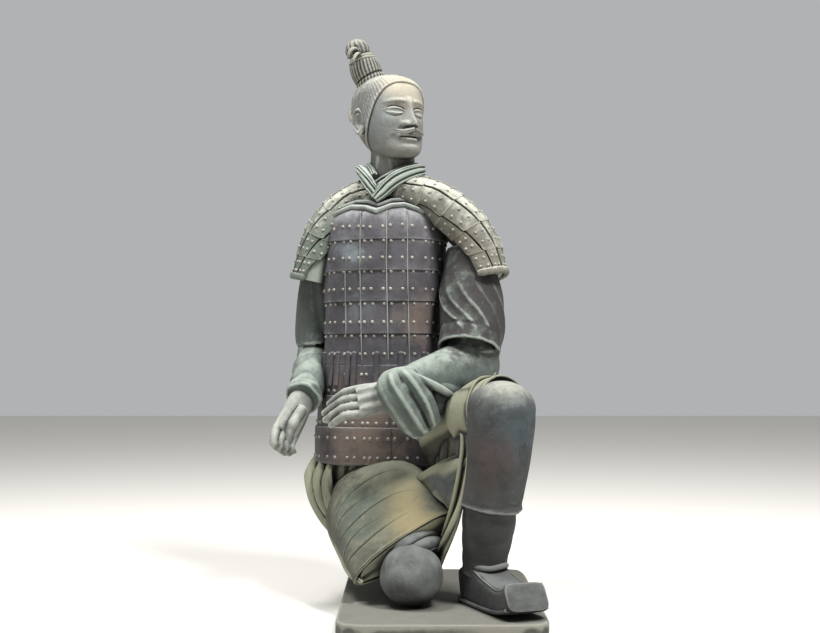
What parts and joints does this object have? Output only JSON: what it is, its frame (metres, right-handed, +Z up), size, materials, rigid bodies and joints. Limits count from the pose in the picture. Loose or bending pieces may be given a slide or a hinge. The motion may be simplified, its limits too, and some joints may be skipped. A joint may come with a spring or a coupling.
{
  "type": "terracotta warrior statue",
  "caption": "Life-size fired-clay figure kneeling on one knee in plate armour over a long robe, with a separate head set in the collar, on a low plinth.",
  "frame": {"origin": "middle of the plinth's underside", "axes": "+Z up, the figure faces -Y, its raised left knee is on the +X side"},
  "size_m": [0.5383, 0.61, 1.2191],
  "materials": {
    "plinth_clay": "rough fired clay, dusty",
    "figure_clay": "matt fired clay with dust and traces of pigment",
    "head_clay": "smoothed matt fired clay with dust"
  },
  "bodies": {
    "root": {"plinth": "plinth_clay", "figure": "figure_clay", "head": "head_clay"}
  },
  "joints": []
}
